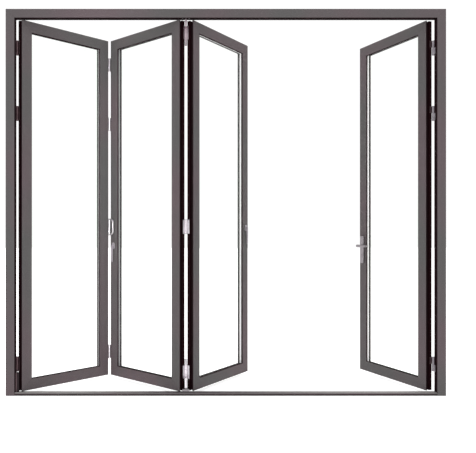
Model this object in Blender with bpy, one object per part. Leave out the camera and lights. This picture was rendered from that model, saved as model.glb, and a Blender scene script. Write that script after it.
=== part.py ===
"""Aluminium folding door: three leaves fold to the left, one leaf swings at the right.

Metres, +Z up. X runs along the opening and +Y is the side that the leaves open to.
The origin is in the middle of the sill's underside. Depths are measured from the
inner face of the frame, the face that a person in the room sees.
"""
import math

import bmesh
import bpy
from mathutils import Matrix, Vector

# Fixed frame
FRAME_W = 2.734
FRAME_H = 2.402
FRAME_DEPTH = 0.046
FRAME_FACE = 0.055
SILL_H = 0.018
SILL_NOSE = 0.003
SILL_SETBACK = 0.0025
SILL_SETBACK_H = 0.009
PROFILE_ROUND = 0.0012

# Roller channel in the head and guide groove in the sill
TRACK_DEPTH = 0.024
SLOT_W = 0.018
SLOT_LIP_T = 0.004
CHAMBER_W = 0.030
CHAMBER_H = 0.022
GROOVE_W = 0.014
GROOVE_FLOOR = 0.004

# Leaves
LEAF_COUNT = 4
LEAF_T = 0.046
INNER_FACE = 0.069
OUTER_FACE = 0.064
EDGE_LIP_T = 0.004
EDGE_RECESS = 0.014
EDGE_BACK_W = 0.021
MEETING_SHIFT = 0.013
SIDE_GAP = 0.006
END_GAP = 0.005
GLASS_T = 0.024
GLASS_GROOVE = 0.014
GLASS_BITE = 0.012
FOLD_ANGLE = math.radians(41.8)
THIRD_ANGLE = math.radians(53.2)
SWING_ANGLE = math.radians(67.5)

# Clearances
FIT = 0.0003
MITRE_FIT = 0.0002

# Hinges
KNUCKLE_OFFSET = 0.009
KNUCKLE_R = 0.008
HINGE_H = 0.092
HINGE_PLATE_T = 0.0024
HINGE_PLATE_W = 0.017
HINGE_PLATE_INSET = 0.002
HINGE_PIN_R = 0.0035
HINGE_PIN_ROOT = 0.023
HINGE_PIN_REACH = 0.024
PIN_CLEARANCE = 0.0004
BOTTOM_HINGE_RISE = 0.163
UPPER_HINGE_DROP = 0.579
TOP_HINGE_DROP = 0.167
MIDDLE_HEIGHT = 1.050

# Pull handle on the middle knee hinge
PULL_H = 0.114
PULL_REACH = 0.046
PULL_BAR = 0.011
PULL_THICK = 0.012
PULL_SHOULDER = 0.022
PULL_SLANT = 0.012
PULL_CORNER_R = 0.006

# Pivot block under the lowest left hinge
PIVOT_BLOCK_W = 0.008
PIVOT_BLOCK_DEPTH = 0.026

# Roller carriages at the track joint
CARRIAGE_H = 0.088
CARRIAGE_DROP = 0.073
CARRIAGE_RISE = 0.114
STEM_R = 0.0080
STEM_L = 0.034
ARM_W = 0.012
ARM_H = 0.016
NECK_R = 0.0075
BLOCK_ROUND = 0.0024
TROLLEY_L = 0.060
TROLLEY_W = 0.024
TROLLEY_H = 0.016
FOOT_L = 0.044
FOOT_W = 0.022
FOOT_H = 0.018
FOOT_RISE = 0.002
TONGUE_L = 0.038
TONGUE_W = 0.011

# Small drive levers on leaves 2 and 3
ROSE_W = 0.024
ROSE_H = 0.046
ROSE_T = 0.005
DRIVE_NECK_R = 0.0055
DRIVE_NECK_L = 0.0055
DRIVE_LEVER_L = 0.118
DRIVE_LEVER_W = 0.013
DRIVE_TIP_W = 0.009
DRIVE_LEVER_T = 0.006
DRIVE_TIP_R = 0.0035
DRIVE_SETBACK = 0.030
LEAF_2_LEVER_DROP = 0.130
LEAF_3_LEVER_Z = 1.044

# Lever set of the swing leaf
PLATE_W = 0.038
PLATE_H = 0.194
PLATE_T = 0.009
PLATE_CORNER_R = 0.007
PLATE_Z = 0.888
LOCK_SETBACK = 0.031
LEVER_ABOVE_PLATE_MIDDLE = 0.027
SPINDLE_R = 0.0045
SPINDLE_BORE_R = 0.007
BORE_OVERRUN = 0.018
LEVER_NECK_R = 0.0085
LEVER_NECK_CLEARANCE = 0.0007
LEVER_REACH = 0.047
LEVER_L = 0.106
LEVER_W = 0.020
LEVER_TIP_W = 0.0165
LEVER_T = 0.012
LEVER_TIP_R = 0.007

# Facets of round shapes
ROUND_SEGMENTS = 32
CORNER_SEGMENTS = 3
CORNER_SHARE = 0.45
SMOOTH_ANGLE = math.radians(35)

# Places that follow from the sizes above
INNER_X = FRAME_W / 2 - FRAME_FACE
HEAD_UNDER = FRAME_H - FRAME_FACE
LEAF_W = (2 * INNER_X - (LEAF_COUNT + 1) * SIDE_GAP) / LEAF_COUNT
LEAF_LOW = SILL_H + END_GAP
LEAF_HIGH = HEAD_UNDER - END_GAP
EDGE_OFFSET = SIDE_GAP / 2
FAR_EDGE = EDGE_OFFSET + LEAF_W
THIRD_FAR_EDGE = FAR_EDGE + MEETING_SHIFT
SWING_FAR_EDGE = FAR_EDGE - MEETING_SHIFT
HINGE_HEIGHTS = {
    "bottom": LEAF_LOW + BOTTOM_HINGE_RISE,
    "upper": LEAF_HIGH - UPPER_HINGE_DROP,
    "top": LEAF_HIGH - TOP_HINGE_DROP,
}
TOP_CARRIAGE_Z = LEAF_HIGH - CARRIAGE_DROP
BOTTOM_CARRIAGE_Z = LEAF_LOW + CARRIAGE_RISE
LEAF_2_LEVER_Z = MIDDLE_HEIGHT - LEAF_2_LEVER_DROP
LOCK_X = LOCK_SETBACK - SWING_FAR_EDGE
LOCK_LEVER_Z = PLATE_Z + LEVER_ABOVE_PLATE_MIDDLE
PIVOT_DEPTH = FRAME_DEPTH + KNUCKLE_OFFSET
PIVOT_X = INNER_X - EDGE_OFFSET
FRONT_Y = -FRAME_DEPTH / 2
PIVOT_Y = FRONT_Y + PIVOT_DEPTH
TRACK_REACH = PIVOT_DEPTH - TRACK_DEPTH
KNUCKLE_SPAN = LEAF_T + 2 * KNUCKLE_OFFSET
PITCH = LEAF_W + SIDE_GAP
KNEE_X = -PIVOT_X + PITCH * math.cos(FOLD_ANGLE) + KNUCKLE_SPAN * math.sin(FOLD_ANGLE)
KNEE_Y = PIVOT_Y + PITCH * math.sin(FOLD_ANGLE) - KNUCKLE_SPAN * math.cos(FOLD_ANGLE)
TRACK_X = 2 * KNEE_X + PIVOT_X
TRACK_ANGLES = (-FOLD_ANGLE, THIRD_ANGLE)

COATING = ("coated_aluminium", (0.125, 0.118, 0.120, 1.0), 0.42, 0.6)
SATIN = ("satin_metal", (0.62, 0.61, 0.62, 1.0), 0.32, 0.9)
BRONZE = ("bronze_metal", (0.12, 0.09, 0.09, 1.0), 0.45, 0.7)
GLAZING = ("clear_glass", (0.85, 0.92, 0.90, 0.25), 0.03, 0.0)


def clear_scene():
    for item in list(bpy.data.objects):
        bpy.data.objects.remove(item, do_unlink=True)


def material(spec):
    """Return the Principled material of a finish, made once."""
    name, colour, roughness, metallic = spec
    found = bpy.data.materials.get(name)
    if found:
        return found
    made = bpy.data.materials.new(name)
    made.use_nodes = True
    shader = made.node_tree.nodes["Principled BSDF"]
    shader.inputs["Base Color"].default_value = colour
    shader.inputs["Roughness"].default_value = roughness
    shader.inputs["Metallic"].default_value = metallic
    made.diffuse_color = colour
    return made


def add(name, mesh, finish, parent=None):
    """Link a mesh as a named piece under an optional empty."""
    item = bpy.data.objects.new(name, mesh)
    item.data.materials.clear()
    item.data.materials.append(material(finish))
    item.parent = parent
    bpy.context.collection.objects.link(item)
    return item


def axis_empty(name, x, y, angle=0.0, z=0.0, parent=None):
    """An empty that stands on a pivot axis and turns what hangs on it."""
    empty = bpy.data.objects.new(name, None)
    empty.location = (x, y, z)
    empty.rotation_euler = (0.0, 0.0, angle)
    empty.parent = parent
    bpy.context.collection.objects.link(empty)
    return empty


def to_mesh(shape, name):
    bmesh.ops.recalc_face_normals(shape, faces=shape.faces)
    mesh = bpy.data.meshes.new(name)
    shape.to_mesh(mesh)
    shape.free()
    return mesh


def rounded(outline, radius, sharp=()):
    """Replace each corner of an outline by an arc, except the listed ones."""
    points = []
    count = len(outline)
    for index, corner in enumerate(outline):
        here = Vector(corner)
        back = Vector(outline[index - 1]) - here
        ahead = Vector(outline[(index + 1) % count]) - here
        if index in sharp or radius <= 0:
            points.append(here)
            continue
        half = back.angle(ahead) / 2
        longest = CORNER_SHARE * min(back.length, ahead.length)
        reach = min(radius / math.tan(half), longest)
        true_radius = reach * math.tan(half)
        centre = here + (back.normalized() + ahead.normalized()).normalized() * (
            true_radius / math.sin(half))
        first = here + back.normalized() * reach - centre
        last = here + ahead.normalized() * reach - centre
        for step in range(CORNER_SEGMENTS + 1):
            share = step / CORNER_SEGMENTS
            arm = first.lerp(last, share).normalized() * true_radius
            points.append(centre + arm)
    return points


def prism(outline, start, end, name):
    """Join two copies of an outline: start and end turn a point into a 3-D corner."""
    shape = bmesh.new()
    low = [shape.verts.new(start(point)) for point in outline]
    high = [shape.verts.new(end(point)) for point in outline]
    shape.faces.new(low)
    shape.faces.new(high)
    for index in range(len(outline)):
        after = (index + 1) % len(outline)
        shape.faces.new((low[index], low[after], high[after], high[index]))
    return to_mesh(shape, name)


def upright(outline, low, high, name):
    """Extrude a plan outline between two heights."""
    return prism(outline, lambda p: (p[0], p[1], low), lambda p: (p[0], p[1], high), name)


def box(low, high, name, radius=0.0):
    """An upright box, with rounded vertical edges where a radius is given."""
    outline = [(low[0], low[1]), (high[0], low[1]), (high[0], high[1]), (low[0], high[1])]
    return upright(rounded(outline, radius), low[2], high[2], name)


def circle(radius, x=0.0, y=0.0):
    steps = [2 * math.pi * index / ROUND_SEGMENTS for index in range(ROUND_SEGMENTS)]
    return [(x + radius * math.cos(step), y + radius * math.sin(step)) for step in steps]


def rod(radius, low, high, name):
    return upright(circle(radius), low, high, name)


def turned(mesh, angle):
    mesh.transform(Matrix.Rotation(angle, 4, "Z"))
    return mesh


def combine(first, others, operation):
    """Union with, or cut away, the other meshes, and return one closed mesh."""
    base = bpy.data.objects.new("working_piece", first)
    bpy.context.collection.objects.link(base)
    helpers = []
    for mesh in others:
        helper = bpy.data.objects.new("working_tool", mesh)
        bpy.context.collection.objects.link(helper)
        helpers.append(helper)
        step = base.modifiers.new("combine", "BOOLEAN")
        step.operation = operation
        step.object = helper
        step.solver = "EXACT"
    graph = bpy.context.evaluated_depsgraph_get()
    result = bpy.data.meshes.new_from_object(base.evaluated_get(graph))
    for helper in helpers + [base]:
        bpy.data.objects.remove(helper, do_unlink=True)
    return result


def fuse(first, *others):
    return combine(first, others, "UNION")


def cut(first, *others):
    return combine(first, others, "DIFFERENCE")


def smooth(item):
    item.data.shade_smooth()
    item.data.set_sharp_from_angle(angle=SMOOTH_ANGLE)
    return item


def frame_section():
    """Jamb section: face distance from the outside, depth from the room side."""
    outline = [(0.0, 0.0), (FRAME_FACE, 0.0), (FRAME_FACE, FRAME_DEPTH), (0.0, FRAME_DEPTH)]
    return rounded(outline, PROFILE_ROUND)


def head_section():
    """The same section with the roller channel open downwards."""
    floor = FRAME_FACE - SLOT_LIP_T
    roof = floor - CHAMBER_H
    slot = (TRACK_DEPTH - SLOT_W / 2, TRACK_DEPTH + SLOT_W / 2)
    chamber = (TRACK_DEPTH - CHAMBER_W / 2, TRACK_DEPTH + CHAMBER_W / 2)
    outline = [
        (0.0, 0.0),
        (FRAME_FACE, 0.0),
        (FRAME_FACE, slot[0]),
        (floor, slot[0]),
        (floor, chamber[0]),
        (roof, chamber[0]),
        (roof, chamber[1]),
        (floor, chamber[1]),
        (floor, slot[1]),
        (FRAME_FACE, slot[1]),
        (FRAME_FACE, FRAME_DEPTH),
        (0.0, FRAME_DEPTH),
    ]
    return rounded(outline, PROFILE_ROUND, sharp=range(2, 10))


def jamb(side, name):
    """A jamb runs from the ground to the mitre under the head's top."""
    def low(point):
        return (side * (FRAME_W / 2 - point[0]), FRONT_Y + point[1], 0.0)

    def high(point):
        top = FRAME_H - point[0] - MITRE_FIT
        return (side * (FRAME_W / 2 - point[0]), FRONT_Y + point[1], top)

    add(name, prism(frame_section(), low, high, name), COATING)


def head():
    def end(side):
        def corner(point):
            reach = FRAME_W / 2 - point[0] - MITRE_FIT
            return (side * reach, FRONT_Y + point[1], FRAME_H - point[0])
        return corner

    add("head", prism(head_section(), end(-1), end(1), "head"), COATING)


def sill():
    """A low threshold between the jambs, with the guide groove along its top.

    The foot of its room side is set back, which leaves a shadow line at the floor.
    """
    groove = (TRACK_DEPTH - GROOVE_W / 2, TRACK_DEPTH + GROOVE_W / 2)
    outline = [
        (SILL_SETBACK, 0.0),
        (SILL_SETBACK, SILL_SETBACK_H),
        (0.0, SILL_SETBACK_H),
        (0.0, SILL_H),
        (groove[0], SILL_H),
        (groove[0], GROOVE_FLOOR),
        (groove[1], GROOVE_FLOOR),
        (groove[1], SILL_H),
        (FRAME_DEPTH - SILL_NOSE, SILL_H),
        (FRAME_DEPTH, SILL_H - SILL_NOSE),
        (FRAME_DEPTH, 0.0),
    ]
    section = rounded(outline, PROFILE_ROUND, sharp=(0, 1, 2, 5, 6, 10))
    end = INNER_X - FIT
    bar = prism(
        section,
        lambda p: (-end, FRONT_Y + p[0], p[1]),
        lambda p: (end, FRONT_Y + p[0], p[1]),
        "sill")
    add("sill", bar, COATING)


def leaf_section():
    """Leaf profile: distance from the leaf's edge, depth from its outer face.

    The glazing groove is open to the glass, and the bead on the room side stands
    further over it. Along the leaf's edge a recess runs between the lip of the
    inner face and the back part that carries the hinges.
    """
    groove = ((LEAF_T - GLASS_T) / 2 - FIT, (LEAF_T + GLASS_T) / 2 + FIT)
    lip = LEAF_T - EDGE_LIP_T
    outline = [
        (0.0, 0.0),
        (OUTER_FACE, 0.0),
        (OUTER_FACE, groove[0]),
        (OUTER_FACE - GLASS_GROOVE, groove[0]),
        (OUTER_FACE - GLASS_GROOVE, groove[1]),
        (INNER_FACE, groove[1]),
        (INNER_FACE, LEAF_T),
        (0.0, LEAF_T),
        (0.0, lip),
        (EDGE_RECESS, lip),
        (EDGE_RECESS, EDGE_BACK_W),
        (0.0, EDGE_BACK_W),
    ]
    return rounded(outline, PROFILE_ROUND, sharp=(2, 3, 4, 5, 8, 9, 10, 11))


def leaf_members(side, far):
    """Meshes of the two stiles and two rails of a leaf that runs to one side of its axis."""
    near = EDGE_OFFSET
    face_y = -KNUCKLE_OFFSET
    section = leaf_section()

    def stile(edge, inward):
        def low(point):
            x = side * (edge + inward * point[0])
            return (x, face_y - point[1], LEAF_LOW + point[0] + MITRE_FIT)

        def high(point):
            x = side * (edge + inward * point[0])
            return (x, face_y - point[1], LEAF_HIGH - point[0] - MITRE_FIT)
        return prism(section, low, high, "stile")

    def rail(level, inward):
        def start(point):
            x = side * (near + point[0] + MITRE_FIT)
            return (x, face_y - point[1], level + inward * point[0])

        def end(point):
            x = side * (far - point[0] - MITRE_FIT)
            return (x, face_y - point[1], level + inward * point[0])
        return prism(section, start, end, "rail")

    return {
        "near": stile(near, 1),
        "far": stile(far, -1),
        "bottom": rail(LEAF_LOW, 1),
        "top": rail(LEAF_HIGH, -1),
    }


def leaf_glass(side, far):
    """The double glazed unit, held in the groove of the four profiles."""
    inset = OUTER_FACE - GLASS_BITE
    ends = sorted((side * (EDGE_OFFSET + inset), side * (far - inset)))
    outer_y = -KNUCKLE_OFFSET - (LEAF_T - GLASS_T) / 2
    low = (ends[0], outer_y - GLASS_T, LEAF_LOW + inset)
    high = (ends[1], outer_y, LEAF_HIGH - inset)
    return box(low, high, "glass")


def leaf(name, near_name, far_name, axis, side, far, far_bore=None):
    """Build a leaf on its pivot empty, with a bored far stile where it has a lock."""
    members = leaf_members(side, far)
    if far_bore:
        members["far"] = cut(members["far"], far_bore)
    names = {
        "near": f"{name}_{near_name}_stile",
        "far": f"{name}_{far_name}_stile",
        "bottom": f"{name}_bottom_rail",
        "top": f"{name}_top_rail",
    }
    for key, piece_name in names.items():
        add(piece_name, members[key], COATING, axis)
    add(f"{name}_glass", leaf_glass(side, far), GLAZING, axis)


def edge_plate(side, reach, low, high, angle):
    """A hinge plate on a leaf's edge: it leaves the knuckle and lies on the edge face."""
    outer = EDGE_OFFSET - FIT
    ends = sorted((side * outer, side * (outer - HINGE_PLATE_T)))
    span = sorted((0.0, reach * (KNUCKLE_OFFSET + HINGE_PLATE_W)))
    first = (ends[0], span[0], low + HINGE_PLATE_INSET)
    last = (ends[1], span[1], high - HINGE_PLATE_INSET)
    return turned(box(first, last, "hinge_plate"), angle)


def closed_hinge(height, angles, reach):
    """A whole hinge about its own axis: knuckle and both plates in one piece."""
    low = -height / 2
    high = height / 2
    knuckle = rod(KNUCKLE_R, low, high, "knuckle")
    left = edge_plate(-1, reach, low, high, angles[0])
    right = edge_plate(1, reach, low, high, angles[1])
    return fuse(knuckle, left, right)


def place(name, mesh, finish, x, y, z, parent=None):
    item = add(name, mesh, finish, parent)
    item.location = (x, y, z)
    return smooth(item)


def left_jamb_hinges():
    for level, height in HINGE_HEIGHTS.items():
        mesh = closed_hinge(HINGE_H, (0.0, FOLD_ANGLE), -1)
        place(f"left_jamb_hinge_{level}", mesh, BRONZE, -PIVOT_X, PIVOT_Y, height)


def pivot_block():
    """The block that carries the first leaf's lowest hinge down to the sill."""
    top = HINGE_HEIGHTS["bottom"] - HINGE_H / 2 - FIT
    back = FRONT_Y + FRAME_DEPTH - PROFILE_ROUND
    low = (-INNER_X + FIT, back - PIVOT_BLOCK_DEPTH, SILL_H + FIT)
    high = (-INNER_X + FIT + PIVOT_BLOCK_W, back, top)
    add("left_pivot_block", box(low, high, "left_pivot_block", PROFILE_ROUND), BRONZE)


def knee_hinges():
    for level, height in HINGE_HEIGHTS.items():
        mesh = closed_hinge(HINGE_H, (FOLD_ANGLE, -FOLD_ANGLE), 1)
        place(f"knee_hinge_{level}", mesh, SATIN, KNEE_X, KNEE_Y, height)


def band(line, width):
    """The outline of a flat bar of one width along an open line."""
    left = []
    right = []
    for index, point in enumerate(line):
        before = point - line[max(index - 1, 0)]
        after = line[min(index + 1, len(line) - 1)] - point
        ways = [way.normalized() for way in (before, after) if way.length > 0]
        across = sum((Vector((-way.y, way.x)) for way in ways), Vector((0.0, 0.0))).normalized()
        reach = width / 2 / across.dot(Vector((-ways[0].y, ways[0].x)))
        left.append(point + across * reach)
        right.append(point - across * reach)
    return left + right[::-1]


def pull_ring():
    """The D of the pull handle, square to the first leaf's face."""
    high = (PULL_H - PULL_BAR) / 2
    bar_x = PULL_REACH - PULL_BAR / 2
    corners = [(0.0, -high), (PULL_SHOULDER, -high), (bar_x, PULL_SLANT - high),
               (bar_x, high - PULL_SLANT), (PULL_SHOULDER, high), (0.0, high)]
    line = rounded(corners, PULL_CORNER_R, sharp=(0, len(corners) - 1))
    ring = prism(
        band(line, PULL_BAR),
        lambda p: (-PULL_THICK / 2, -p[0], p[1]),
        lambda p: (PULL_THICK / 2, -p[0], p[1]),
        "ring")
    return turned(ring, FOLD_ANGLE)


def knee_pull_hinge():
    body = closed_hinge(PULL_H, (FOLD_ANGLE, -FOLD_ANGLE), 1)
    place("knee_pull_hinge", fuse(body, pull_ring()), SATIN, KNEE_X, KNEE_Y, MIDDLE_HEIGHT)


def track_hinge():
    mesh = closed_hinge(HINGE_H, TRACK_ANGLES, -1)
    place("track_hinge", mesh, SATIN, TRACK_X, PIVOT_Y, MIDDLE_HEIGHT)


def arm(low, high):
    """The bar that reaches from the hinge axis back over the track line."""
    return box((-ARM_W / 2, -TRACK_REACH, low), (ARM_W / 2, 0.0, high), "arm")


def over_track(mesh):
    mesh.transform(Matrix.Translation((0.0, -TRACK_REACH, 0.0)))
    return mesh


def top_carriage():
    """Hinge body, arm, and the neck and trolley that hang in the roller channel."""
    centre = TOP_CARRIAGE_Z
    half = CARRIAGE_H / 2
    body = closed_hinge(CARRIAGE_H, TRACK_ANGLES, -1)
    trolley_low = HEAD_UNDER + SLOT_LIP_T + FIT - centre
    stem = rod(STEM_R, -half - STEM_L, half + ARM_H, "stem")
    reach = arm(half - ARM_H, half + ARM_H)
    neck = over_track(rod(NECK_R, half, trolley_low + TROLLEY_H / 2, "neck"))
    trolley = over_track(box(
        (-TROLLEY_L / 2, -TROLLEY_W / 2, trolley_low),
        (TROLLEY_L / 2, TROLLEY_W / 2, trolley_low + TROLLEY_H),
        "trolley", PROFILE_ROUND))
    mesh = fuse(body, stem, reach, neck, trolley)
    place("top_carriage", mesh, SATIN, TRACK_X, PIVOT_Y, centre)


def bottom_carriage():
    """Hinge body, arm, and the foot whose tongue runs in the sill's groove."""
    centre = BOTTOM_CARRIAGE_Z
    half = CARRIAGE_H / 2
    body = closed_hinge(CARRIAGE_H, TRACK_ANGLES, -1)
    foot_low = SILL_H + FOOT_RISE - centre
    stem = rod(STEM_R, -half - ARM_H, half + STEM_L, "stem")
    reach = arm(-half - ARM_H, -half + ARM_H)
    neck = over_track(rod(STEM_R, foot_low + FOOT_H / 2, -half, "neck"))
    foot = over_track(box(
        (-FOOT_L / 2, -FOOT_W / 2, foot_low),
        (FOOT_L / 2, FOOT_W / 2, foot_low + FOOT_H),
        "foot", BLOCK_ROUND))
    tongue = over_track(box(
        (-TONGUE_L / 2, -TONGUE_W / 2, GROOVE_FLOOR + FIT - centre),
        (TONGUE_L / 2, TONGUE_W / 2, foot_low + FOOT_H / 2),
        "tongue", PROFILE_ROUND))
    mesh = fuse(body, stem, reach, neck, foot, tongue)
    place("bottom_carriage", mesh, SATIN, TRACK_X, PIVOT_Y, centre)


def swing_hinges(axis):
    """Each hinge of the swing leaf: a jamb half with the pin and a leaf half that turns."""
    half = HINGE_H / 2
    bore_r = HINGE_PIN_R + PIN_CLEARANCE
    for level, height in HINGE_HEIGHTS.items():
        lower = rod(KNUCKLE_R, -half, -FIT, "lower_knuckle")
        jamb_plate = edge_plate(1, -1, -half, -FIT, 0.0)
        pin = rod(HINGE_PIN_R, -HINGE_PIN_ROOT, HINGE_PIN_REACH, "pin")
        place(f"right_jamb_hinge_{level}", fuse(lower, jamb_plate, pin), SATIN,
              PIVOT_X, PIVOT_Y, height)
        upper = rod(KNUCKLE_R, 0.0, half, "upper_knuckle")
        leaf_plate = edge_plate(-1, -1, 0.0, half, 0.0)
        bore = rod(bore_r, -HINGE_PIN_ROOT, HINGE_PIN_REACH + PIN_CLEARANCE, "bore")
        mesh = cut(fuse(upper, leaf_plate), bore)
        place(f"swing_leaf_hinge_{level}", mesh, SATIN, 0.0, 0.0, height, axis)


def stadium(width, height, x=0.0, z=0.0):
    """An upright outline with half-round ends."""
    radius = width / 2
    straight = height / 2 - radius
    points = []
    for end in (1, -1):
        for step in range(ROUND_SEGMENTS // 2 + 1):
            turn = math.pi * step / (ROUND_SEGMENTS // 2)
            points.append((x + end * radius * math.cos(turn),
                           z + end * (straight + radius * math.sin(turn))))
    return points


def face_slab(outline, near, far, name):
    """Extrude a face outline (x, z) along the leaf's depth."""
    return prism(outline, lambda p: (p[0], near, p[1]), lambda p: (p[0], far, p[1]), name)


def drive_lever(name, axis, side, far, height):
    """A small rose on the leaf's inner face with a slim lever that hangs down."""
    x = side * (far - DRIVE_SETBACK)
    face_y = -KNUCKLE_OFFSET - LEAF_T
    rose_y = face_y - FIT - ROSE_T
    rose = face_slab(stadium(ROSE_W, ROSE_H, x, height), face_y - FIT, rose_y, "rose")
    smooth(add(f"{name}_lever_base", rose, SATIN, axis))

    pivot = axis_empty(f"{name}_lever_axis", x, rose_y - FIT, 0.0, height, axis)
    neck_end = -DRIVE_NECK_L - DRIVE_LEVER_T / 2
    neck = face_slab(circle(DRIVE_NECK_R), 0.0, neck_end, "neck")
    wide = DRIVE_LEVER_W / 2
    slim = DRIVE_TIP_W / 2
    tip = wide - DRIVE_LEVER_L
    bar = rounded([(-wide, wide), (-slim, tip), (slim, tip), (wide, wide)], DRIVE_TIP_R)
    lever = face_slab(bar, -DRIVE_NECK_L, -DRIVE_NECK_L - DRIVE_LEVER_T, "lever")
    smooth(add(f"{name}_lever", fuse(neck, lever), SATIN, pivot))


def spindle_bore(radius, name):
    """A cutter along the lever's axis, longer than the leaf and its plates."""
    outline = circle(radius, LOCK_X, LOCK_LEVER_Z)
    outside = -KNUCKLE_OFFSET + PLATE_T + BORE_OVERRUN
    inside = -KNUCKLE_OFFSET - LEAF_T - PLATE_T - BORE_OVERRUN
    return face_slab(outline, outside, inside, name)


def lock_plates(axis):
    """The long plates on both faces of the lock stile, the inner one bored for the lever."""
    outer_face = -KNUCKLE_OFFSET
    faces = {
        "outer": (outer_face + FIT, outer_face + FIT + PLATE_T),
        "inner": (outer_face - LEAF_T - FIT, outer_face - LEAF_T - FIT - PLATE_T),
    }
    sides = (LOCK_X - PLATE_W / 2, LOCK_X + PLATE_W / 2)
    levels = (PLATE_Z - PLATE_H / 2, PLATE_Z + PLATE_H / 2)
    corners = [(sides[0], levels[0]), (sides[1], levels[0]),
               (sides[1], levels[1]), (sides[0], levels[1])]
    outline = rounded(corners, PLATE_CORNER_R)
    for key, (near, far) in faces.items():
        mesh = face_slab(outline, near, far, "plate")
        if key == "inner":
            mesh = cut(mesh, spindle_bore(LEVER_NECK_R + LEVER_NECK_CLEARANCE, "plate_bore"))
        smooth(add(f"lock_plate_{key}", mesh, SATIN, axis))


def lock_lever(axis):
    """The lever on the inner face points to the hinges; its spindle ends in the stile."""
    middle_y = -KNUCKLE_OFFSET - LEAF_T / 2
    pivot = axis_empty("lock_lever_axis", LOCK_X, middle_y, 0.0, LOCK_LEVER_Z, axis)
    half = LEAF_T / 2
    tip = -half - LEVER_REACH
    spindle = face_slab(circle(SPINDLE_R), -half - PLATE_T, half - FIT, "spindle")
    neck = face_slab(circle(LEVER_NECK_R), -half - FIT, tip, "neck")
    wide = LEVER_W / 2
    slim = LEVER_TIP_W / 2
    tip_x = LEVER_L - wide
    outline = rounded([(-wide, -wide), (tip_x, -slim), (tip_x, slim), (-wide, wide)], LEVER_TIP_R)
    grip = face_slab(outline, tip - LEVER_T / 2, tip + LEVER_T / 2, "grip")
    smooth(add("lock_lever", fuse(spindle, neck, grip), SATIN, pivot))


def build():
    clear_scene()
    head()
    jamb(-1, "left_jamb")
    jamb(1, "right_jamb")
    sill()

    first = axis_empty("leaf_1_axis", -PIVOT_X, PIVOT_Y, FOLD_ANGLE)
    second = axis_empty("leaf_2_axis", TRACK_X, PIVOT_Y, -FOLD_ANGLE)
    third = axis_empty("leaf_3_axis", TRACK_X, PIVOT_Y, THIRD_ANGLE)
    swing = axis_empty("swing_leaf_axis", PIVOT_X, PIVOT_Y, -SWING_ANGLE)
    leaf("leaf_1", "jamb", "knee", first, 1, FAR_EDGE)
    leaf("leaf_2", "track", "knee", second, -1, FAR_EDGE)
    leaf("leaf_3", "track", "free", third, 1, THIRD_FAR_EDGE)
    bore = spindle_bore(SPINDLE_BORE_R, "stile_bore")
    leaf("swing_leaf", "hinge", "lock", swing, -1, SWING_FAR_EDGE, bore)

    left_jamb_hinges()
    pivot_block()
    knee_hinges()
    knee_pull_hinge()
    top_carriage()
    track_hinge()
    bottom_carriage()
    swing_hinges(swing)
    drive_lever("leaf_2", second, -1, FAR_EDGE, LEAF_2_LEVER_Z)
    drive_lever("leaf_3", third, 1, THIRD_FAR_EDGE, LEAF_3_LEVER_Z)
    lock_plates(swing)
    lock_lever(swing)


build()
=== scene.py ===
"""Looks of the folding door: finishes, glass units, seals, hardware, camera and light.

Metres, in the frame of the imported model. A leaf's pieces are placed by their distance
from its hinged edge, their depth from its inner face and their height. The pieces of a
hinge are placed from its axis: out along the leaf, over its edge, and up.
"""

import math

import bmesh
import bpy
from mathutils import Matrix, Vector

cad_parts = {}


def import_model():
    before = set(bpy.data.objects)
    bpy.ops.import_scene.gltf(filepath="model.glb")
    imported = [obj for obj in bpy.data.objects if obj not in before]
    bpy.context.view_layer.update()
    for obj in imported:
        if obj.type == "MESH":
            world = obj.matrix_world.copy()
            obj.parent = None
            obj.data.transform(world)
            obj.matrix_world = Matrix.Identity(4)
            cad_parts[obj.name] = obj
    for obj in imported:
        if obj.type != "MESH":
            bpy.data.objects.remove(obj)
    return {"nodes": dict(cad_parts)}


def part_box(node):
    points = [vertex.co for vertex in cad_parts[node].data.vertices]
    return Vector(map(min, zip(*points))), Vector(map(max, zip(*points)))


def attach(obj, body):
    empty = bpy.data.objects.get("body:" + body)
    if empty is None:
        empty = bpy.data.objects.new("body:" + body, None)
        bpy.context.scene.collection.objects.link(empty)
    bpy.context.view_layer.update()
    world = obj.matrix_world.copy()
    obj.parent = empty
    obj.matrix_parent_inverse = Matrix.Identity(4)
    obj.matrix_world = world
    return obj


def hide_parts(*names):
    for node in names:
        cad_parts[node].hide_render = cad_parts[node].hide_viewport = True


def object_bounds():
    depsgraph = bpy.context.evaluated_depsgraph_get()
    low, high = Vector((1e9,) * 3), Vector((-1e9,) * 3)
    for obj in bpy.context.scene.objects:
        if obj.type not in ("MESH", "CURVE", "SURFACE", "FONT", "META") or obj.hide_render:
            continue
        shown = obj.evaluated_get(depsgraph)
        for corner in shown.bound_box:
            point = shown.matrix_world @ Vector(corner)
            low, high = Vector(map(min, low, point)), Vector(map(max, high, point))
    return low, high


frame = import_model()
CAD_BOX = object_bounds()
UP = Vector((0.0, 0.0, 1.0))
RIGHT = Vector((1.0, 0.0, 0.0))
TO_ROOM = Vector((0.0, -1.0, 0.0))

# Photograph: its size, focal length and vanishing point in pixels
IMAGE_W = 476
IMAGE_H = 453
FOCAL_PX = 597.3
CENTRE_PX = (185.0, 229.67)
SENSOR_MM = 36.0

# Camera: distance before the frame's near face, and place across and above the floor
CAMERA_BACK = 3.706
CAMERA_X = -0.2535
CAMERA_Z = 1.0314
CLIP_END = 100.0

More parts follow.
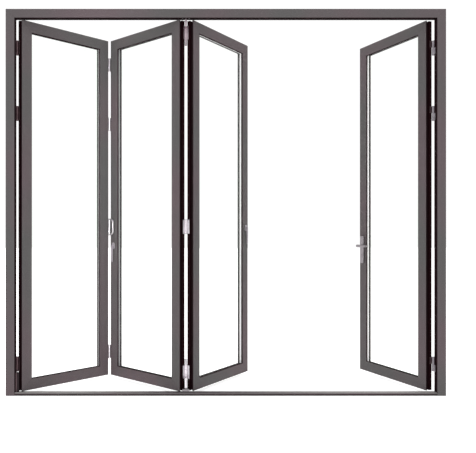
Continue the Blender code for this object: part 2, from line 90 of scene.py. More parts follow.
# Soft lights: name, place, the point it looks at, size, spread in degrees, power in watts
SOFTBOXES = (
    ("softbox_top", (0.0, -0.6, 4.6), (0.0, 0.1, 1.1), (4.5, 4.5), 180, 30.0),
    ("softbox_left", (-3.2, -3.4, 2.6), (0.0, 0.1, 1.1), (2.4, 2.4), 180, 8.0),
    ("softbox_knee", (-0.76, -3.6, 1.3), (-0.76, 0.4, 1.2), (0.3, 2.2), 16, 2.1),
)

# Floor and surroundings
FLOOR_REACH = 30.0
FLOOR_GAP = 0.0005
FLOOR_GLOW = 0.60
SURROUND = 1.05
WHITE = (1.0, 1.0, 1.0, 1.0)
FLOOR_TONES = ((0.92, 0.92, 0.92, 1.0), (0.94, 0.94, 0.94, 1.0))
FLOOR_CLOUD_SCALE = 0.8
FLOOR_ROUGHNESS = 0.9
FLOOR_SHINE = 0.1

# Sizes that the solids have
FIT = 0.0003
TRACK_DEPTH = 0.024
SLOT_W = 0.018
SLOT_LIP_T = 0.004
EDGE_GAP = 0.003
EDGE_LIP_T = 0.004
EDGE_RECESS = 0.014
EDGE_BACK_W = 0.021
GLASS_BITE = 0.012
BEAD_STEP = 0.005
LIP_DEPTH = 0.012
SILL_FOOT_H = 0.009
KNUCKLE_R = 0.008
KNUCKLE_OFFSET = 0.009
PLATE_T = 0.0024
PLATE_W = 0.017
PLATE_INSET = 0.002
TRACK_REACH = 0.031
CARRIAGE_H = 0.088
STEM_L = 0.034
ARM_W = 0.012
ARM_H = 0.016
NECK_R = 0.0075
TROLLEY_H = 0.016
TROLLEY_L = 0.060
FOOT_LEVEL = 0.020
FOOT_L = 0.044
FOOT_W = 0.022
FOOT_H = 0.018
TONGUE_L = 0.038
TONGUE_W = 0.011
BUFFER_L = 0.013
BUFFER_W = 0.016
PULL_THICK = 0.012
PULL_BAR = 0.011
PULL_REACH = 0.046
PULL_SHOULDER = 0.022
PULL_SLANT = 0.012
DRIVE_NECK_R = 0.0055
DRIVE_LEVER_T = 0.006
LEVER_NECK_R = 0.0085
LEVER_NECK_HOLE_R = 0.0092
LEVER_T = 0.012
SPINDLE_R = 0.0045

# Glass units and seals
PANE_T = 0.005
PANE_EDGE = 0.0006
SPACER_DEPTH = 0.0136
SPACER_H = 0.0075
SPACER_EDGE = 0.0007
SIGHT_MARGIN = 0.0005
SEALANT_H = 0.0035
WEDGE_W = 0.0016
WEDGE_RISE = 0.0022
# Shares of the wedge's width and rise, from its side to its lip
WEDGE_PROFILE = ((0.8, 0.55), (0.4, 0.9), (0.0, 1.0))
TUBE_R = 0.0026
TUBE_INSET = 0.0010
BREAK_W = 0.0115
BREAK_T = 0.0020
JAMB_SEAL_DEPTH = 0.009
JAMB_SEAL_W = 0.005
JAMB_SEAL_RISE = 0.0009
BRUSH_W = 0.0012

# Hinges and screws
KNUCKLE_GAP = 0.0008
KNUCKLE_EDGE = 0.0009
PIN_R = 0.0058
CAP_R = 0.0046
CAP_H = 0.0018
# Shares of the cap's radius and height, from its side to its crown
CAP_DOME = ((1.0, 0.45), (0.8, 0.8), (0.4, 1.0), (0.0, 1.0))
PLATE_EDGE = 0.0006
SCREW_R = 0.0034
SCREW_DIMPLE_R = 0.0013
DIMPLE_FLARE = 1.15
DIMPLE_FLOOR_SHARE = 0.2
SCREW_FLAT = 0.00025
SCREW_RAISED = 0.0008
SCREW_END_GAP = 0.013

# Handles and levers
PULL_CORNER = 0.009
CORNER_SHARE = 0.45
RING_CORNER = 0.0036
DRIVE_TAPER = 0.7
DRIVE_EDGE = 0.0018
ROSE_EDGE = 0.0016
ROSE_SCREW_SHARE = 0.34
LOCK_CORNER = 0.007
LOCK_EDGE = 0.0014
LEVER_EDGE = 0.0022
LEVER_TAPER = 0.8
COLLAR_R = 0.0125
COLLAR_H = 0.0026
CYLINDER_R = 0.0085
CYLINDER_TAIL = (0.010, 0.022)
CYLINDER_DROP = 0.062
CYLINDER_RISE = 0.0012
KEY_SLOT = (0.0012, 0.0085)

# Carriages and pivot block
ARM_EDGE = 0.0018
ARM_ROUND_SHARE = 0.45
PIVOT_SCREW_SHARES = (0.25, 0.75)
FOOT_EDGE = 0.003
WHEEL_R = 0.0077
WHEEL_T = 0.0060
WHEEL_REACH = 0.0200
TROLLEY_BODY_W = 0.0110
NUT_R = 0.0086
TOP_NECK_R = 0.0062
TOP_PLATE_W = 0.009
NUT_H = 0.0060
STEM_SHARE = 0.92
STEM_COLLAR_R = 0.0089
STEM_COLLAR_H = 0.0050

# Lock faceplates and covers
FACEPLATE = (0.0140, 0.240, 0.0020)
FACEPLATE_Z = 0.895
FACEPLATE_SHIFT = 0.0015
LATCH = (0.0100, 0.0190, 0.0070)
LATCH_RISE = 0.020
COVER_R = 0.0058
COVER_RISE = 0.0008
COVER_Y = 0.001
COVER_LEVELS = (0.32, 0.92, 1.52, 2.12)
DRAIN = (0.034, 0.0050, 0.0016)
DRAIN_X = (-0.92, 0.0, 0.92)
DRAIN_Z = 0.008

# Rims: shares of the radius where the face ends, and of the rise where the side starts
SCREW_RIM = (0.8, 0.3)
COLLAR_RIM = (0.9, 0.6)
COVER_RIM = (0.8, 0.4)

# Facets
ROUND_SEGMENTS = 40
SCREW_SEGMENTS = 18
NUT_SIDES = 6
ARC_STEPS = 14
CORNER_STEPS = 5
RIM_STEP = 0.002
SHARP_ANGLE = math.radians(32)


def linear(*display):
    """A display colour from 0 to 255 as the linear colour that a shader takes."""
    shares = [value / 255 for value in display]
    return tuple(share / 12.92 if share <= 0.04045 else ((share + 0.055) / 1.055) ** 2.4
                 for share in shares) + (1.0,)


# Noise: its detail, its roughness in polishing lines, the range that is stretched to a full one,
# and a relief's usual strength. A cloud is a noise's scale and the two values it runs between.
SMOOTH_DETAIL = 1.0
DETAIL = 2.0
FINE_DETAIL = 3.0
LINE_ROUGHNESS = 0.6
NOISE_SPAN = (0.3, 0.7)
RELIEF_STRENGTH = 0.3

# Powder coat: its two tones, their cloud and grain, the fleck, gloss and relief
COAT_COOL = linear(84, 82, 82)
COAT_WARM = linear(90, 80, 83)
COAT_CLOUD_SCALE = 1.7
COAT_CLOUD_SPAN = (0.40, 0.60)
COAT_GRAIN = (900.0, 0.92, 1.08)
COAT_FLECK = linear(112, 108, 110)
COAT_FLECK_SCALE = 1500.0
COAT_FLECK_FROM = 0.975
COAT_SHINE = 0.05
COAT_ROUGHNESS = (240.0, 0.46, 0.60)
COAT_RELIEF = 0.00012
COAT_RELIEF_SCALE = 420.0
COAT_RELIEF_STRENGTH = 0.35

# Painted shade on the coat in recesses, on the glass reveals and on the sill's foot; painted sheen
# and shade along the sill's tread
PAINTED_SHADE_COAT = linear(27, 9, 13)
FACING_LIMIT = 0.7
# A lighter painted shade on the stiles' glass reveals
LIP_SHADE_COAT = linear(60, 51, 54)
# Painted shade and painted sheen that run in a long wave along the sill's tread
TREAD_SHADE = linear(97, 90, 93)
TREAD_SHEEN = linear(172, 168, 167)
TREAD_SHEEN_AT = 0.95
TREAD_WAVE = 1.11

# Metal: grain along the three axes, shares of its tone and roughness, relief
METAL_GRAIN = (60.0, 60.0, 1200.0)
METAL_DULL_SHARE = 0.82
METAL_CLOUD = (35.0, 0.90, 1.06)
METAL_ROUGHNESS_SHARES = (0.85, 1.2)
METAL_RELIEF = 0.00003

# Dull materials
DULL_CLOUD_SPAN = (0.35, 0.65)
DULL_ROUGHNESS_STEP = 0.2
DULL_RELIEF_SCALE = 6.0

# Spacer bar and its pinholes, darkened with painted shade
PINHOLE_SCALE = 260.0
PINHOLE_SCATTER = 0.15
PINHOLE_RIM = (0.08, 0.13)
PINHOLE_SHADE_SHARE = 0.45
SPACER_ROUGHNESS = (500.0, 0.40, 0.55)
SPACER_SHINE = 0.4
SPACER_RELIEF = 0.00008

# Glass: its sheen's least and greatest share and power, tones of the sheen and of what shows through
GLASS_SHEEN = (0.006, 0.35, 5.0)
GLASS_TONES = (linear(240, 246, 243), linear(248, 251, 249))
GLASS_CLEAR = (linear(254, 255, 254), linear(255, 255, 255))
GLASS_TINT_SCALE = 2.0
GLASS_ROUGHNESS = (0.015, 0.03)
GLASS_WAVE = 0.0005
GLASS_WAVE_SCALE = 3.0
GLASS_WAVE_STRENGTH = 0.05

# See-through faces that light may cross: the four leaves have sixteen in a row
GLASS_CROSSINGS = 20

# Metals: name, tone and roughness
METALS = {
    "satin": ("satin_grey", (146, 140, 144), 0.36),
    "carriage": ("satin_carriage", (198, 184, 190), 0.40),
    "bright": ("satin_bright", (230, 224, 229), 0.30),
    "bronze": ("dark_bronze", (118, 98, 102), 0.48),
}

# Dull materials: name, two tones, scale of their clouds, roughness, shine and relief
DULLS = {
    "silver": ("silver_paint", (140, 134, 140), (152, 146, 152), 60.0, 0.35, 0.3, 0.00003),
    "rubber": ("black_seal", (28, 21, 24), (42, 34, 37), 90.0, 0.65, 0.05, 0.00005),
    "brush": ("brush_seal", (22, 19, 20), (38, 34, 35), 700.0, 0.8, 0.02, 0.0003),
    "break": ("thermal_break", (20, 9, 12), (32, 17, 20), 150.0, 0.75, 0.03, 0.00008),
    "sealant": ("unit_sealant", (38, 38, 40), (58, 58, 60), 120.0, 0.5, 0.3, 0.0002),
    # Near black for the keyway: painted shade inside the slot
    "dark": ("dark_recess", (12, 11, 12), (26, 24, 25), 400.0, 0.6, 0.1, 0.00005),
    "cap": ("cover_cap", (38, 27, 30), (50, 40, 43), 300.0, 0.5, 0.2, 0.00008),
}


class Graph:
    """A material's node tree, with short calls that add and link its nodes."""

    def __init__(self, name):
        self.material = bpy.data.materials.new(name)
        self.material.use_nodes = True
        self.tree = self.material.node_tree
        self.shader = self.tree.nodes["Principled BSDF"]
        places = self.tree.nodes.new("ShaderNodeTexCoord")
        self.place = places.outputs["Object"]
        self.facing = places.outputs["Normal"]

    def put(self, value, socket):
        """Link a socket to another one, or set it to a plain value."""
        if isinstance(value, bpy.types.NodeSocket):
            self.tree.links.new(value, socket)
        else:
            socket.default_value = value

    def node(self, kind, settings=None, inputs=None):
        made = self.tree.nodes.new(kind)
        for key, value in (settings or {}).items():
            setattr(made, key, value)
        for key, value in (inputs or {}).items():
            self.put(value, made.inputs[key])
        return made

    def finish(self, **values):
        """Set the shader's inputs by name, with an underscore for each space."""
        for key, value in values.items():
            self.put(value, self.shader.inputs[key.replace("_", " ")])
        return self.material

    def noise(self, scale, detail=DETAIL, roughness=0.5, vector=None):
        return self.node("ShaderNodeTexNoise", inputs={
            "Scale": scale, "Detail": detail, "Roughness": roughness,
            "Vector": vector or self.place}).outputs["Fac"]

    def stretched(self, factors):
        """Object coordinates scaled along the three axes, for a grain with a direction."""
        return self.node("ShaderNodeMapping", inputs={
            "Vector": self.place, "Scale": factors}).outputs["Vector"]

    def span(self, value, low, high, first=0.0, last=1.0):
        """Map a range of values to another one, clamped."""
        return self.node("ShaderNodeMapRange", inputs={
            "Value": value, "From Min": low, "From Max": high,
            "To Min": first, "To Max": last}).outputs["Result"]

    def math(self, operation, first, second=0.0):
        return self.node("ShaderNodeMath", {"operation": operation},
                         {0: first, 1: second}).outputs[0]

    def dot(self, vector, direction):
        return self.node("ShaderNodeVectorMath", {"operation": "DOT_PRODUCT"},
                         {0: vector, 1: tuple(direction)}).outputs["Value"]

    def scale(self, colour, factor):
        return self.node("ShaderNodeVectorMath", {"operation": "SCALE"},
                         {0: colour, "Scale": factor}).outputs[0]

    def mix(self, share, first, second):
        made = self.node("ShaderNodeMix", {"data_type": "RGBA"})
        colours = [socket for socket in made.inputs if socket.type == "RGBA"]
        self.put(share, made.inputs[0])
        self.put(first, colours[0])
        self.put(second, colours[1])
        return [socket for socket in made.outputs if socket.type == "RGBA"][0]

    def cloud(self, scale, first=0.0, last=1.0, detail=DETAIL):
        """A noise stretched to run between two values."""
        return self.span(self.noise(scale, detail), *NOISE_SPAN, first, last)

    def bump(self, height, distance, strength=RELIEF_STRENGTH):
        return self.node("ShaderNodeBump", inputs={
            "Height": height, "Strength": strength, "Distance": distance}).outputs["Normal"]

    def towards(self, direction):
        """1 on faces that look along a direction."""
        return self.math("GREATER_THAN", self.dot(self.facing, direction), FACING_LIMIT)


def coating(name, shaded_sides, lips, tread):
    """Dark grey powder coat with a fine fleck.

    Faces that look along a shaded side get a nearly black painted shade.
    A lip gives a darker tone of painted shade to the faces of one side that lie beyond a limit.
    A tread's upward face has painted sheen and shade in a long wave, lightest in the doorway, and its
    foot has painted shade.
    """
    graph = Graph(name)
    cloud = graph.span(graph.noise(COAT_CLOUD_SCALE), *COAT_CLOUD_SPAN)
    grain = graph.cloud(*COAT_GRAIN, FINE_DETAIL)
    shaded = graph.scale(graph.mix(cloud, COAT_COOL, COAT_WARM), grain)
    cells = graph.node("ShaderNodeTexVoronoi", inputs={
        "Vector": graph.place, "Scale": COAT_FLECK_SCALE})
    pick = graph.node("ShaderNodeSeparateColor", inputs={"Color": cells.outputs["Color"]})
    fleck = graph.math("GREATER_THAN", pick.outputs[0], COAT_FLECK_FROM)
    colour = graph.mix(fleck, shaded, COAT_FLECK)
    # Faces turned towards a shaded side get a nearly black painted shade
    masks = [(graph.towards(side), PAINTED_SHADE_COAT) for side in shaded_sides]
    # Lips add painted shade to the faces of one side beyond a depth
    for side, direction, limit, tone in lips:
        beyond = graph.math("GREATER_THAN", graph.dot(graph.place, direction), limit)
        masks.append((graph.math("MULTIPLY", graph.towards(side), beyond), tone))
    if tread:
        # Painted sheen and shade on the tread's upward face, in a long wave that is lightest in the
        # doorway
        along = graph.math("SUBTRACT", graph.dot(graph.place, RIGHT), TREAD_SHEEN_AT)
        wave = graph.math("COSINE", graph.math("MULTIPLY", along, math.pi / TREAD_WAVE))
        sheen_and_shade = graph.mix(graph.span(wave, -1.0, 1.0), TREAD_SHADE, TREAD_SHEEN)
        colour = graph.mix(graph.towards(UP), colour, graph.scale(sheen_and_shade, grain))
        # Painted shade on the sill's foot, below its set-back
        low = graph.math("LESS_THAN", graph.dot(graph.place, UP), SILL_FOOT_H)
        masks.append((low, PAINTED_SHADE_COAT))
    roughness = graph.cloud(*COAT_ROUGHNESS)
    for mask, tone in masks:
        colour = graph.mix(mask, colour, tone)
        roughness = graph.math("MAXIMUM", roughness, mask)
    return graph.finish(
        Base_Color=colour,
        Roughness=roughness,
        Specular_IOR_Level=COAT_SHINE,
        Normal=graph.bump(graph.noise(COAT_RELIEF_SCALE, FINE_DETAIL),
                          COAT_RELIEF, COAT_RELIEF_STRENGTH))


def darker(colour, share):
    return tuple(share * channel for channel in colour[:3]) + (1.0,)


def metal(name, colour, roughness):
    """Satin metal with fine polishing lines."""
    graph = Graph(name)
    lines = graph.span(graph.noise(1.0, FINE_DETAIL, LINE_ROUGHNESS, graph.stretched(METAL_GRAIN)),
                       *NOISE_SPAN)
    cloud = graph.cloud(*METAL_CLOUD)
    least, most = METAL_ROUGHNESS_SHARES
    tone = graph.mix(lines, colour, darker(colour, METAL_DULL_SHARE))
    return graph.finish(
        Base_Color=graph.scale(tone, cloud),
        Roughness=graph.span(lines, 0.0, 1.0, roughness * least, roughness * most),
        Metallic=1.0,
        Normal=graph.bump(lines, METAL_RELIEF))


def plain(name, first, second, scale, roughness, shine, relief):
    """A dull material whose two tones change in small clouds."""
    graph = Graph(name)
    cloud = graph.span(graph.noise(scale, FINE_DETAIL), *DULL_CLOUD_SPAN)
    roughest = min(1.0, roughness + DULL_ROUGHNESS_STEP)
    return graph.finish(
        Base_Color=graph.mix(cloud, first, second),
        Roughness=graph.span(cloud, 0.0, 1.0, roughness, roughest),
        Specular_IOR_Level=shine,
        Normal=graph.bump(graph.noise(scale * DULL_RELIEF_SCALE), relief))


def spacer_bar(name, tone):
    """Spacer bar with the rows of pinholes that dry the gap, darkened with painted shade."""
    graph = Graph(name)
    dots = graph.node("ShaderNodeTexVoronoi", inputs={
        "Vector": graph.place, "Scale": PINHOLE_SCALE, "Randomness": PINHOLE_SCATTER})
    bar = graph.span(dots.outputs["Distance"], *PINHOLE_RIM)
    return graph.finish(
        Base_Color=graph.mix(bar, darker(tone, PINHOLE_SHADE_SHARE), tone),
        Roughness=graph.cloud(*SPACER_ROUGHNESS),
        Specular_IOR_Level=SPACER_SHINE,
        Normal=graph.bump(bar, SPACER_RELIEF))


def clear_glass():
    """Clear float glass: a see-through share, and a faint sheen that grows at a low angle."""
    graph = Graph("clear_glass")
    tint = graph.cloud(GLASS_TINT_SCALE, detail=SMOOTH_DETAIL)
    wave = graph.noise(GLASS_WAVE_SCALE, SMOOTH_DETAIL)
    graph.finish(
        Base_Color=graph.mix(tint, *GLASS_TONES),
        Roughness=graph.span(tint, 0.0, 1.0, *GLASS_ROUGHNESS),
        Normal=graph.bump(wave, GLASS_WAVE, GLASS_WAVE_STRENGTH))
    clear = graph.mix(tint, *GLASS_CLEAR)
    through = graph.node("ShaderNodeBsdfTransparent", inputs={"Color": clear})
    least, most, power = GLASS_SHEEN
    facing = graph.node("ShaderNodeLayerWeight", inputs={"Blend": 0.5}).outputs["Facing"]
    sheen = graph.math("POWER", facing, power)
    blend = graph.node("ShaderNodeMixShader", inputs={0: graph.span(sheen, 0.0, 1.0, least, most)})
    graph.put(through.outputs[0], blend.inputs[1])
    graph.put(graph.shader.outputs[0], blend.inputs[2])
    graph.put(blend.outputs[0], graph.tree.nodes["Material Output"].inputs["Surface"])
    return graph.material


FINISH = {key: metal(name, linear(*tone), roughness)
          for key, (name, tone, roughness) in METALS.items()}
FINISH.update({key: plain(name, linear(*first), linear(*second), *numbers)
               for key, (name, first, second, *numbers) in DULLS.items()})
FINISH["white_spacer"] = spacer_bar("white_spacer", linear(250, 247, 248))
# A darker copy of the same spacer bar: painted shade for the knee leaves
FINISH["painted_shade_spacer"] = spacer_bar("painted_shade_spacer", linear(150, 148, 150))
FINISH["glass"] = clear_glass()


def points_of(node):
    return [vertex.co.copy() for vertex in frame["nodes"][node].data.vertices]


def middle_of(node):
    low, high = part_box(node)
    return (Vector(low) + Vector(high)) / 2


def reach_of(points, direction):
    """The least and the greatest distance of points along a direction."""
    distances = [point.dot(direction) for point in points]
    return min(distances), max(distances)


def world(x, y, z):
    return Vector((x, y, z))


class Leaf:
    """A leaf's directions, edges and glass, read from its solids."""

    def __init__(self, name, near, far, body):
        self.name = name
        self.body = body
        self.near = f"{name}_{near}_stile"
        self.far = f"{name}_{far}_stile"
        self.rails = (f"{name}_bottom_rail", f"{name}_top_rail")
        along = middle_of(self.far) - middle_of(self.near)
        self.along = Vector((along.x, along.y, 0.0)).normalized()
        self.inward = Vector((self.along.y, -self.along.x, 0.0))
        if self.inward.y > 0:
            self.inward = -self.inward
        stiles = points_of(self.near) + points_of(self.far)
        self.start, end = reach_of(stiles, self.along)
        self.width = end - self.start
        back, self.face = reach_of(stiles, self.inward)
        self.depth = self.face - back
        self.low, self.high = reach_of(points_of(self.rails[0]) + points_of(self.rails[1]), UP)
        reach, self.glass = self.spans(f"{name}_glass")[:2]
        self.glass_edge = reach[0]
        self.sight = self.glass_edge + GLASS_BITE

    def point(self, reach, depth, height):
        """The point at a distance from the near edge, a depth from the inner face, a height."""
        flat = self.along * (self.start + reach) + self.inward * (self.face - depth)
        return flat + UP * height

    def about(self, reach, height, depth=0.0, way=1):
        """A placing call about a spot; its third direction goes in, or out where way is -1."""
        return lambda a, b, c: self.point(reach + a, depth + way * c, height + b)

    def spans(self, node):
        """Distance, depth and height ranges of a node."""
        points = points_of(node)
        reach = reach_of(points, self.along)
        inward = reach_of(points, self.inward)
        return ((reach[0] - self.start, reach[1] - self.start),
                (self.face - inward[1], self.face - inward[0]),
                reach_of(points, UP))


class Axis:
    """A vertical hinge axis: out from it along a leaf, and over the leaf's edge."""

    def __init__(self, origin, along, over):
        self.origin = Vector((origin.x, origin.y, 0.0))
        self.along = along
        self.over = over

    def point(self, out, over, height):
        return self.origin + self.along * out + self.over * over + UP * height

    def facing(self, along, over):
        """The same axis seen with other directions."""
        return Axis(self.origin, along, over)


LEAVES = {
    "leaf_1": Leaf("leaf_1", "jamb", "knee", "frame"),
    "leaf_2": Leaf("leaf_2", "track", "knee", "frame"),
    "leaf_3": Leaf("leaf_3", "track", "free", "frame"),
    "swing_leaf": Leaf("swing_leaf", "hinge", "lock", "swing_leaf"),
}
KNEE_LEAVES = ("leaf_1", "leaf_2")


def near_axis(name):
    """The hinge axis beyond a leaf's near edge, behind its outer face."""
    leaf = LEAVES[name]
    origin = leaf.point(-EDGE_GAP, leaf.depth + KNUCKLE_OFFSET, 0.0)
    return Axis(origin, leaf.along, leaf.inward)


def far_axis(name):
    """The hinge axis beyond a leaf's far edge, before its inner face."""
    leaf = LEAVES[name]
    origin = leaf.point(leaf.width + EDGE_GAP, -KNUCKLE_OFFSET, 0.0)
    return Axis(origin, leaf.along, leaf.inward)


KNEE_AXIS = far_axis("leaf_1")
KNEE_SIDES = [KNEE_AXIS.facing(-LEAVES[name].along, -LEAVES[name].inward) for name in KNEE_LEAVES]
TRACK_SIDES = [near_axis("leaf_2"), near_axis("leaf_3")]
CARRIAGE_AXIS = TRACK_SIDES[0].facing(RIGHT, TO_ROOM)
HINGE_LEVELS = ("bottom", "upper", "top")


def shown(name, data):
    """A new object in the scene that shows a mesh, a light or a camera."""
    item = bpy.data.objects.new(name, data)
    bpy.context.collection.objects.link(item)
    return item


def piece(name, shape, finish, body, slot, stands_for=(), smooth=True):
    """Turn a bmesh that lies in its place into a piece that rides on a body."""
    bmesh.ops.recalc_face_normals(shape, faces=shape.faces)
    mesh = bpy.data.meshes.new(name)
    shape.to_mesh(mesh)
    shape.free()
    mesh.materials.append(FINISH[finish])
    if smooth:
        mesh.shade_smooth()
        mesh.set_sharp_from_angle(angle=SHARP_ANGLE)
    item = shown(name, mesh)
    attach(item, body)
    if stands_for:
        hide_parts(*stands_for)


def detail(node, shape, finish, body="frame", slot="satin_hardware"):
    """The piece that stands for a solid and takes its name."""
    piece(f"{node}_detail", shape, finish, body, slot, [node])


def around(middle, size):
    """The two ends of a size about its middle."""
    return middle - size / 2, middle + size / 2


def loft(shape, loops, closed=False):
    """Join loops of points into a skin, with end faces unless the row of loops is closed."""
    rings = [[shape.verts.new(point) for point in loop] for loop in loops]
    pairs = list(zip(rings, rings[1:]))
    if closed:
        pairs.append((rings[-1], rings[0]))
    else:
        shape.faces.new(rings[0])
        shape.faces.new(rings[-1])
    for first, second in pairs:
        for step in range(len(first)):
            after = (step + 1) % len(first)
            shape.faces.new((first[step], first[after], second[after], second[step]))
    return rings


def bevel(shape, edges, width):
    bmesh.ops.bevel(shape, geom=list(edges), offset=width, offset_type="OFFSET",
                    segments=2, profile=0.5, affect="EDGES")


def bevel_rims(shape, rings, width):
    """Bevel the edges that run round the loops."""
    rims = set()
    for ring in rings:
        for vert in ring:
            rims.update(link for link in vert.link_edges if link.other_vert(vert) in ring)
    bevel(shape, rims, width)


def block(shape, place, spans, edge=0.0):
    """A box between three pairs of distances, with bevelled edges."""
    (a0, a1), (b0, b1), (c0, c1) = spans
    square = ((a0, b0), (a1, b0), (a1, b1), (a0, b1))
    rings = loft(shape, [[place(a, b, c) for a, b in square] for c in (c0, c1)])
    if edge:
        bevel(shape, {link for vert in rings[0] + rings[1] for link in vert.link_edges}, edge)


def slab(shape, place, outline, near, far, edge=0.0):
    """A flat piece: an outline (distance, height) between two depths, with bevelled rims."""
    rings = loft(shape, [[place(a, depth, c) for a, c in outline] for depth in (near, far)])
    if edge:
        bevel_rims(shape, rings, edge)


def bored_slab(shape, place, outline, hole, near, far, edge):
    """A slab with a round hole, chamfered round its near side."""
    centre = Vector(hole[:2])
    loops = []
    for corner in dense(outline):
        arm = corner - centre
        wall = centre + arm.normalized() * hole[2]
        inset = corner - arm.normalized() * edge
        depth = near + edge if far > near else near - edge
        section = ((inset, near), (corner, depth), (corner, far), (wall, far), (wall, near))
        loops.append([place(spot.x, level, spot.y) for spot, level in section])
    loft(shape, loops, closed=True)


def dense(outline):
    """The outline with extra points along its long sides."""
    points = []
    for index, corner in enumerate(outline):
        here = Vector(corner)
        ahead = Vector(outline[(index + 1) % len(outline)])
        steps = max(1, math.ceil((ahead - here).length / RIM_STEP))
        points += [here.lerp(ahead, step / steps) for step in range(steps)]
    return points


def lathe(shape, profile, place, segments=ROUND_SEGMENTS):
    """Turn a profile of (radius, distance) about the third direction of a placing call."""
    rings = []
    for radius, along in profile:
        if radius <= 0:
            rings.append([shape.verts.new(place(0.0, 0.0, along))])
            continue
        turns = [2 * math.pi * step / segments for step in range(segments)]
        rings.append([shape.verts.new(
            place(radius * math.cos(turn), radius * math.sin(turn), along)) for turn in turns])
    for first, second in zip(rings, rings[1:]):
        for step in range(segments):
            after = (step + 1) % segments
            corners = [first[step % len(first)], first[after % len(first)],
                       second[after % len(second)], second[step % len(second)]]
            unique = list(dict.fromkeys(corners))
            if len(unique) > 2:
                shape.faces.new(unique)


def ring(shape, section, place):
    """Turn a closed section of (radius, distance) that stays clear of the axis."""
    loops = []
    for step in range(ROUND_SEGMENTS):
        turn = 2 * math.pi * step / ROUND_SEGMENTS
        loops.append([place(radius * math.cos(turn), radius * math.sin(turn), along)
                      for radius, along in section])
    loft(shape, loops, closed=True)


def rod(shape, place, radius, low, high, segments=ROUND_SEGMENTS):
    """A rod along the third direction of a placing call, with chamfered ends."""
    inset = radius - KNUCKLE_EDGE
    lathe(shape, [(0.0, low), (inset, low), (radius, low + KNUCKLE_EDGE),
                  (radius, high - KNUCKLE_EDGE), (inset, high), (0.0, high)], place, segments)


def rim(radius, rise, shares):
    """Where a low button's face ends and where its side starts."""
    return [(radius * shares[0], rise), (radius, rise * shares[1])]


def arc(centre, radius, first, last, steps=ARC_STEPS):
    """Points on an arc between two angles in degrees."""
    turns = [math.radians(first + (last - first) * step / steps) for step in range(steps + 1)]
    return [(centre[0] + radius * math.cos(turn), centre[1] + radius * math.sin(turn))
            for turn in turns]


def stadium(middle, height, width, length):
    """An upright outline with half-round ends."""
    radius = width / 2
    straight = length / 2 - radius
    return (arc((middle, height + straight), radius, 0, 180)
            + arc((middle, height - straight), radius, 180, 360))


def rounded_box(low, high, radius):
    """A rounded rectangle between two corners."""
    outline = []
    for x, z, first in ((high[0] - radius, high[1] - radius, 0),
                        (low[0] + radius, high[1] - radius, 90),
                        (low[0] + radius, low[1] + radius, 180),
                        (high[0] - radius, low[1] + radius, 270)):
        outline += arc((x, z), radius, first, first + 90, CORNER_STEPS)
    return outline


def sweep_round(leaf, key, section, finish, slot, smooth=True):
    """A piece whose section (distance in from the leaf's edge, depth) runs round the leaf."""
    shape = bmesh.new()
    loops = []
    for far, high in ((False, False), (True, False), (True, True), (False, True)):
        loops.append([leaf.point(
            leaf.width - inset if far else inset, depth,
            leaf.high - inset if high else leaf.low + inset) for inset, depth in section])
    loft(shape, loops, closed=True)
    piece(f"{leaf.name}_{key}", shape, finish, leaf.body, slot, smooth=smooth)


def sweep_line(shape, place, line, section):
    """Sweep a section (sideways, across) along an open line (distance, height)."""
    loops = []
    for index, point in enumerate(line):
        before = point - line[max(index - 1, 0)]
        after = line[min(index + 1, len(line) - 1)] - point
        ways = [way.normalized() for way in (before, after) if way.length > 0]
        normals = [Vector((-way.y, way.x)) for way in ways]
        across = sum(normals, Vector((0.0, 0.0))).normalized()
        stretch = 1.0 / across.dot(normals[0])
        spots = [(side, point + across * (width * stretch)) for side, width in section]
        loops.append([place(side, spot.x, spot.y) for side, spot in spots])
    loft(shape, loops)


def soft_line(corners, radius):
    """An open line whose inner corners are rounded."""
    line = [Vector(corners[0])]
    for before, here, after in zip(corners, corners[1:], corners[2:]):
        corner = Vector(here)
        back = Vector(before) - corner
        ahead = Vector(after) - corner
        reach = min(radius, CORNER_SHARE * back.length, CORNER_SHARE * ahead.length)
        first = corner + back.normalized() * reach
        last = corner + ahead.normalized() * reach
        for step in range(CORNER_STEPS + 1):
            share = step / CORNER_STEPS
            line.append(first.lerp(corner, share).lerp(corner.lerp(last, share), share))
    line.append(Vector(corners[-1]))
    return line


def glass_unit(leaf):
    """Two panes, the spacer bar between them and the seal behind the spacer."""
    edge = leaf.glass_edge
    front, back = leaf.glass
    sides = (edge, leaf.width - edge)
    levels = (leaf.low + edge, leaf.high - edge)
    for key, depth in (("inner", front), ("outer", back - PANE_T)):
        shape = bmesh.new()
        block(shape, leaf.point, (sides, (depth, depth + PANE_T), levels), PANE_EDGE)
        stands_for = [f"{leaf.name}_glass"] if key == "inner" else []
        piece(f"{leaf.name}_{key}_pane", shape, "glass", leaf.body, "glazing", stands_for, False)

    near, far = around((front + back) / 2, SPACER_DEPTH)
    top = leaf.sight - SIGHT_MARGIN
    # The knee leaves' spacer bars take the darker copy: painted shade
    tone = "painted_shade_spacer" if leaf.name in KNEE_LEAVES else "white_spacer"
    sweep_round(leaf, "spacer", [
        (top - SPACER_H, near), (top - SPACER_EDGE, near), (top, near + SPACER_EDGE),
        (top, far - SPACER_EDGE), (top - SPACER_EDGE, far), (top - SPACER_H, far)],
        tone, "glazing", False)
    low = edge + SIGHT_MARGIN
    high = low + SEALANT_H
    sweep_round(leaf, "unit_seal", [(low, near), (high, near), (high, far), (low, far)],
                "sealant", "glazing", False)


def glazing_seals(leaf):
    """Rubber wedges along the glass on both faces."""
    for key, face, way, sight in (("inner", leaf.glass[0], -1, leaf.sight + BEAD_STEP),
                                  ("outer", leaf.glass[1], 1, leaf.sight)):
        first = sight + SIGHT_MARGIN
        foot = [(first, face + way * FIT), (first + WEDGE_W, face + way * FIT)]
        wedge = [(first + WEDGE_W * wide, face + way * WEDGE_RISE * rise)
                 for wide, rise in WEDGE_PROFILE]
        sweep_round(leaf, f"{key}_glazing_seal", foot + wedge, "rubber", "glazing")


